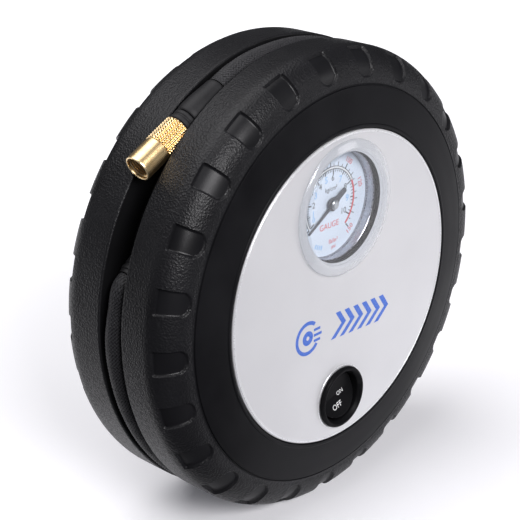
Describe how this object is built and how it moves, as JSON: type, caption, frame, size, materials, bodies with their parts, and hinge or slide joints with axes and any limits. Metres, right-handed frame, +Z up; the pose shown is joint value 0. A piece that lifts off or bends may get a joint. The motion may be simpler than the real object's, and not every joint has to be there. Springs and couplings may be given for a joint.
{
  "type": "portable tire inflator",
  "caption": "Wheel-shaped 12 V tyre inflator with a silver face, dial gauge, round rocker switch and a braided hose wound in the groove between its halves.",
  "frame": {"origin": "centre of the bounding box's bottom face, on the ground under the standing wheel", "axes": "+X to the right and +Z up for someone who faces the gauge, +Y from the face towards the back"},
  "size_m": [0.1701, 0.0614, 0.1688],
  "materials": {
    "tyre_black": "black moulded plastic with a fine leather grain",
    "plain_black": "smooth satin black plastic",
    "rubber": "dull black rubber",
    "steel": "plated steel",
    "zinc": "zinc-plated and cast metal",
    "aluminium": "light satin silver",
    "brass": "bright turned brass",
    "nylon": "natural nylon",
    "clear_lens": "clear moulded lens",
    "case_chrome": "bright plated",
    "dial_white": "white printed dial",
    "needle_grey": "dark grey",
    "ferrite": "dark ferrite",
    "copper": "varnished copper windings",
    "braid_black": "black textile braid over rubber",
    "wire_red": "red insulation",
    "wire_black": "black insulation"
  },
  "bodies": {
    "casing": {"front_housing": "tyre_black", "rear_housing": "tyre_black", "hose_drum": "plain_black", "housing_screw_1": "steel", "housing_screw_2": "steel", "housing_screw_3": "steel", "housing_screw_4": "steel", "cord_gland": "rubber", "face_plate": "aluminium", "gauge_lens": "clear_lens", "gauge_case": "case_chrome", "gauge_dial": "dial_white", "gauge_socket": "brass", "bourdon_tube": "brass", "switch_body": "plain_black", "switch_terminal_1": "brass", "switch_terminal_2": "brass", "motor_can": "zinc", "motor_magnets": "ferrite", "motor_end_bell": "nylon", "motor_terminal_1": "brass", "motor_terminal_2": "brass", "crank_bush": "brass", "gearbox_frame": "zinc", "motor_screw_1": "steel", "motor_screw_2": "steel", "cylinder": "aluminium", "cylinder_head": "aluminium", "head_screw_1": "steel", "head_screw_2": "steel", "delivery_tube": "rubber", "gauge_tube": "rubber", "wire_red": "wire_red", "wire_black": "wire_black", "hose": "braid_black", "hose_gland": "rubber", "hose_sleeve": "rubber", "hose_ferrule": "plain_black", "hose_barb": "brass"},
    "needle": {"gauge_needle": "needle_grey", "needle_cap": "steel", "needle_spindle": "brass"},
    "sector": {"sector_gear": "brass"},
    "rocker": {"switch_rocker": "plain_black"},
    "armature": {"motor_shaft": "steel", "motor_armature": "copper", "motor_pinion": "brass"},
    "crank": {"drive_gear": "nylon", "crankshaft": "steel"},
    "piston": {"piston": "nylon", "piston_cup": "rubber", "connecting_rod": "nylon"},
    "chuck": {"chuck_nut": "brass", "valve_pin": "brass", "chuck_seal": "rubber"}
  },
  "joints": [
    {"name": "needle_turn", "type": "hinge", "parent": "casing", "child": "needle", "pos_m": [-0.0015, -0.0233, 0.1148], "axis": [0, 1, 0], "range_deg": [0, 265], "stiffness_Nm_per_rad": 0.0002},
    {"name": "sector_turn", "type": "hinge", "parent": "casing", "child": "sector", "pos_m": [-0.0015, -0.0193, 0.103], "axis": [0, 1, 0], "range_deg": [-43, 0]},
    {"name": "rocker_tilt", "type": "hinge", "parent": "casing", "child": "rocker", "pos_m": [-0.0015, -0.0253, 0.0418], "axis": [0.9659, 0, 0.2588], "range_deg": [0, 18]},
    {"name": "motor_spin", "type": "hinge", "parent": "casing", "child": "armature", "pos_m": [0, 0.0057, 0.0728], "axis": [1, 0, 0], "continuous": true},
    {"name": "crank_spin", "type": "hinge", "parent": "casing", "child": "crank", "pos_m": [0, 0.0057, 0.0488], "axis": [1, 0, 0], "continuous": true},
    {"name": "piston_slide", "type": "slide", "parent": "casing", "child": "piston", "axis": [0, 0, 1], "range_m": [-0.012, 0]},
    {"name": "chuck_swivel", "type": "hinge", "parent": "casing", "child": "chuck", "pos_m": [-0.05206, 0.00045, 0.14877], "axis": [-0.893, 0, -0.45], "continuous": true}
  ],
  "couplings": [
    {"joint": "sector_turn", "follows": "needle_turn", "ratio": -0.16226},
    {"joint": "motor_spin", "follows": "crank_spin", "ratio": -5}
  ]
}
